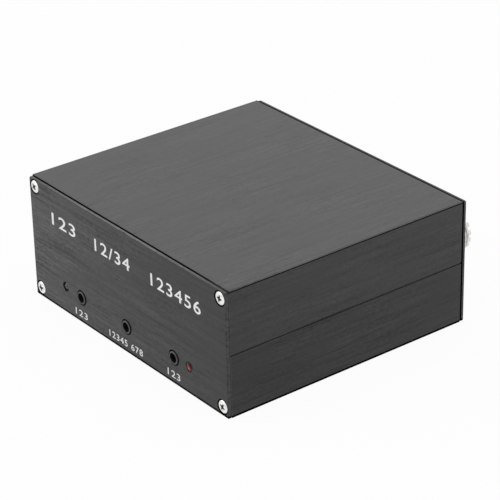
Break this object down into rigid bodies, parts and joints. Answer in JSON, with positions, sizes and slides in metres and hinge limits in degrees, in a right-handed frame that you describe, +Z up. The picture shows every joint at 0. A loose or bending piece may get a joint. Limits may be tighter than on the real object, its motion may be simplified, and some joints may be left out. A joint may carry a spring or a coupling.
{
  "type": "coaxial antenna switch",
  "caption": "Flat black metal box that switches an antenna between a receiver and a transceiver, with audio jacks and lamps in front and coaxial sockets behind.",
  "frame": {"origin": "middle of the underside, halfway between the two end panels' outer faces", "axes": "+X to the right seen from the front, +Y from the front panel to the rear panel, +Z up"},
  "size_m": [0.113, 0.1178, 0.0467],
  "materials": {
    "black_plastic": "satin moulded",
    "board_laminate": "green solder mask",
    "brushed_black_panel": "black anodised, brushed across",
    "brushed_black_shell": "black anodised, brushed along the length",
    "capacitor_sleeve": "printed sleeve, plain",
    "clear_resin": "clear",
    "contact_bronze": "phosphor bronze",
    "copper_winding": "enamelled copper wire",
    "gold_plate": "gold plated",
    "lead_jacket": "brown coax jacket",
    "nickel_plate": "nickel plated brass",
    "plated_iron": "zinc plated soft iron",
    "red_resin": "red tinted",
    "relay_black_plastic": "moulded",
    "relay_cover_plastic": "blue moulded",
    "resistor_lacquer": "lacquer",
    "screw_steel": "bright nickel plated",
    "tinned_metal": "tinned",
    "white_insulator": "PTFE white"
  },
  "bodies": {
    "case": {"aerial_lead": "lead_jacket", "aerial_relay_base": "relay_black_plastic", "aerial_relay_bobbin": "relay_black_plastic", "aerial_relay_cover": "relay_cover_plastic", "aerial_relay_terminals": "contact_bronze", "aerial_relay_winding": "copper_winding", "aerial_relay_yoke": "plated_iron", "aerial_socket_body": "nickel_plate", "aerial_socket_contact": "gold_plate", "aerial_socket_insulator": "white_insulator", "clear_lamp_lens": "clear_resin", "front_panel": "brushed_black_panel", "front_panel_screws": "screw_steel", "key_socket_contact": "nickel_plate", "key_socket_insulator": "white_insulator", "key_socket_nut": "nickel_plate", "key_socket_shell": "nickel_plate", "key_wire": "lead_jacket", "lamp_leads": "tinned_metal", "left_jack_contacts": "tinned_metal", "left_jack_housing": "black_plastic", "lower_shell": "brushed_black_shell", "main_board": "board_laminate", "middle_jack_contacts": "tinned_metal", "middle_jack_housing": "black_plastic", "rear_panel": "brushed_black_panel", "rear_panel_screws": "screw_steel", "receiver_lead": "lead_jacket", "receiver_relay_base": "relay_black_plastic", "receiver_relay_bobbin": "relay_black_plastic", "receiver_relay_cover": "relay_cover_plastic", "receiver_relay_terminals": "contact_bronze", "receiver_relay_winding": "copper_winding", "receiver_relay_yoke": "plated_iron", "receiver_socket_body": "gold_plate", "receiver_socket_contact": "gold_plate", "receiver_socket_insulator": "white_insulator", "receiver_socket_nut": "gold_plate", "receiver_socket_washer": "gold_plate", "red_lamp_lens": "red_resin", "regulator": "black_plastic", "relay_diodes": "black_plastic", "resistors": "resistor_lacquer", "right_jack_contacts": "tinned_metal", "right_jack_housing": "black_plastic", "socket_flange_bolts": "nickel_plate", "socket_flange_nuts": "nickel_plate", "supply_capacitors": "capacitor_sleeve", "supply_inlet_housing": "black_plastic", "supply_inlet_pin": "nickel_plate", "supply_inlet_spring": "nickel_plate", "transceiver_lead": "lead_jacket", "transceiver_socket_body": "nickel_plate", "transceiver_socket_contact": "gold_plate", "transceiver_socket_insulator": "white_insulator", "upper_shell": "brushed_black_shell"},
    "aerial_armature": {"aerial_relay_armature": "plated_iron", "aerial_relay_contact_spring": "contact_bronze"},
    "receiver_armature": {"receiver_relay_armature": "plated_iron", "receiver_relay_contact_spring": "contact_bronze"}
  },
  "joints": [
    {"name": "aerial_armature_hinge", "type": "hinge", "parent": "case", "child": "aerial_armature", "pos_m": [0.0181, 0.008, 0.01855], "axis": [0, 1, 0], "range_deg": [0, 4], "stiffness_Nm_per_rad": 0.02, "springref_deg": -11.46},
    {"name": "receiver_armature_hinge", "type": "hinge", "parent": "case", "child": "receiver_armature", "pos_m": [-0.0149, 0.008, 0.01855], "axis": [0, 1, 0], "range_deg": [0, 4], "stiffness_Nm_per_rad": 0.02, "springref_deg": -11.46}
  ],
  "couplings": [
    {"joint": "receiver_armature_hinge", "follows": "aerial_armature_hinge", "ratio": 1}
  ]
}
